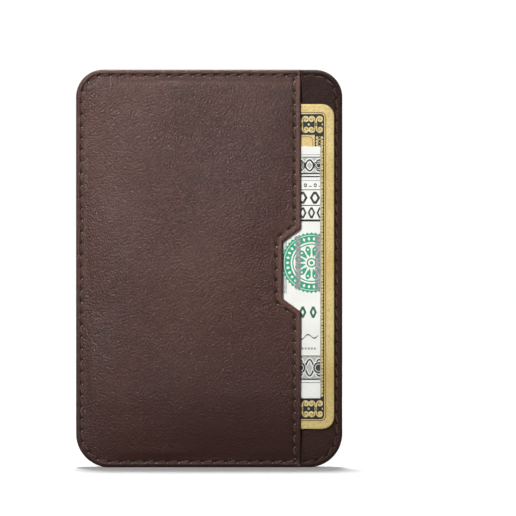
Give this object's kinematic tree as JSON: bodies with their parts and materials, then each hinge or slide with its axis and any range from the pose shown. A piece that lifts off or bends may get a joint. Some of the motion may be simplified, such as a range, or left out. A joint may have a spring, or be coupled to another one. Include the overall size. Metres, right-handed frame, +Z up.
{
  "type": "minimalist wallet",
  "caption": "Slim upright leather card wallet with a side-opening front pocket with a thumb notch, an open central compartment and a back pocket with a pull tab.",
  "frame": {"origin": "middle of the wallet's bottom edge, in the seam between its two halves", "axes": "+Z up along the wallet's height, +X across its width to the right seen from the front, front face towards -Y"},
  "size_m": [0.0702, 0.015, 0.1048],
  "materials": {
    "leather": "smooth full-grain, dark chocolate brown, satin",
    "strap_leather": "smooth, very dark brown with painted edges",
    "lining": "grey-green woven shielding fabric",
    "thread": "waxed brown thread",
    "card_gold": "satin pale gold with a dark patterned frame",
    "note_paper": null,
    "back_paper": "off-white cotton paper with a pale grey print"
  },
  "bodies": {
    "wallet": {"front_pocket_panel": "leather", "front_pocket_hem_stitch": "thread", "front_border_stitch": "thread", "front_border_stitch_right": "thread", "front_body_panel": "leather", "front_shield_lining": "lining", "back_shield_lining": "lining", "back_body_panel": "leather", "back_border_stitch": "thread", "back_border_stitch_top": "thread", "back_pocket_panel": "leather", "back_pocket_hem_stitch": "thread", "pull_strap_anchor_run": "strap_leather"},
    "front_card": {"front_card": "card_gold"},
    "front_note": {"front_note": "note_paper"},
    "back_note": {"back_note": "back_paper", "pull_strap_loop": "strap_leather"},
    "strap": {"pull_strap": "strap_leather"},
    "tab": {"pull_tab_inner": "strap_leather", "pull_tab_outer": "strap_leather", "pull_tab_stitch": "thread"}
  },
  "joints": [
    {"name": "front_card_slide", "type": "slide", "parent": "wallet", "child": "front_card", "axis": [1, 0, 0], "range_m": [0, 0.045]},
    {"name": "front_note_slide", "type": "slide", "parent": "wallet", "child": "front_note", "axis": [1, 0, 0], "range_m": [0, 0.045]},
    {"name": "strap_pull", "type": "slide", "parent": "wallet", "child": "strap", "axis": [0, 0.0104, 0.9999], "range_m": [0, 0.036]},
    {"name": "back_note_lift", "type": "slide", "parent": "wallet", "child": "back_note", "axis": [0, 0.0104, 0.9999], "range_m": [0, 0.018], "deforming": ["pull_strap_anchor_run"]},
    {"name": "tab_flex", "type": "hinge", "parent": "strap", "child": "tab", "pos_m": [0, 0.0044, 0.0923], "axis": [1, 0, 0], "range_deg": [-20, 25]}
  ],
  "couplings": [
    {"joint": "back_note_lift", "follows": "strap_pull", "ratio": 0.5}
  ]
}
